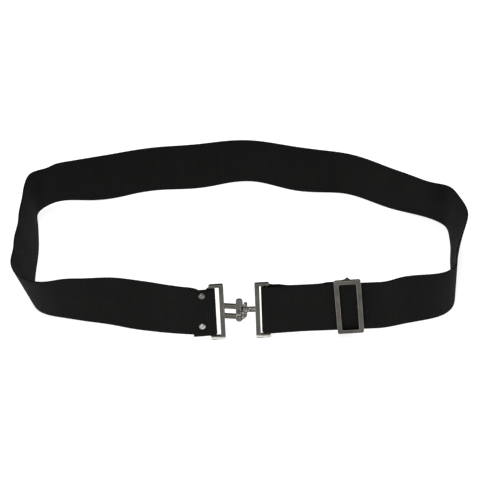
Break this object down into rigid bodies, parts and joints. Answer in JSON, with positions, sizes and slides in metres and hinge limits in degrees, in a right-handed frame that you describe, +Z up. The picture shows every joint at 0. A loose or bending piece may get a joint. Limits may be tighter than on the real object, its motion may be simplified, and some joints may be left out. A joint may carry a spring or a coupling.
{
  "type": "weight belt",
  "caption": "Closed webbing weight belt standing on edge, with a hook-and-loop metal clasp, a riveted end and a sliding length adjuster.",
  "frame": {"origin": "under the middle of the closed loop, on the surface it stands on", "axes": "+Z up along the webbing's width, +X along the loop's long side, -Y towards the clasp at the front"},
  "size_m": [0.4264, 0.2509, 0.0641],
  "materials": {
    "webbing": "ribbed woven nylon, dull black",
    "thread": "black polyester thread",
    "clasp_metal": "satin nickel plate, lightly scuffed",
    "rivet_metal": "bright nickel plate"
  },
  "bodies": {
    "belt": {"belt_webbing": "webbing", "return_layer": "webbing", "upper_rivet": "rivet_metal", "upper_rivet_cap": "rivet_metal", "lower_rivet": "rivet_metal", "lower_rivet_cap": "rivet_metal"},
    "loop_side": {"loop_half": "clasp_metal"},
    "hook_side": {"hook_half": "clasp_metal"},
    "slider": {"slider_frame": "clasp_metal", "slider_bar": "clasp_metal", "sewn_end_loop": "webbing", "sewn_loop_thread": "thread"}
  },
  "joints": [
    {"name": "loop_half_swing", "type": "hinge", "parent": "belt", "child": "loop_side", "pos_m": [-0.02662, -0.11972, 0.03204], "axis": [0.037, -0.0938, -0.9949], "range_deg": [0, 9]},
    {"name": "hook_half_swing", "type": "hinge", "parent": "belt", "child": "hook_side", "pos_m": [0.02227, -0.11642, 0.032], "axis": [-0.037, 0.0938, 0.9949], "range_deg": [0, 11.9]},
    {"name": "slider_travel", "type": "slide", "parent": "belt", "child": "slider", "axis": [0.9982, 0.0593, 0], "range_m": [-0.03, 0.008], "deforming": ["return_layer"]}
  ],
  "couplings": [
    {"joint": "hook_half_swing", "follows": "loop_half_swing", "ratio": 1.3113}
  ]
}
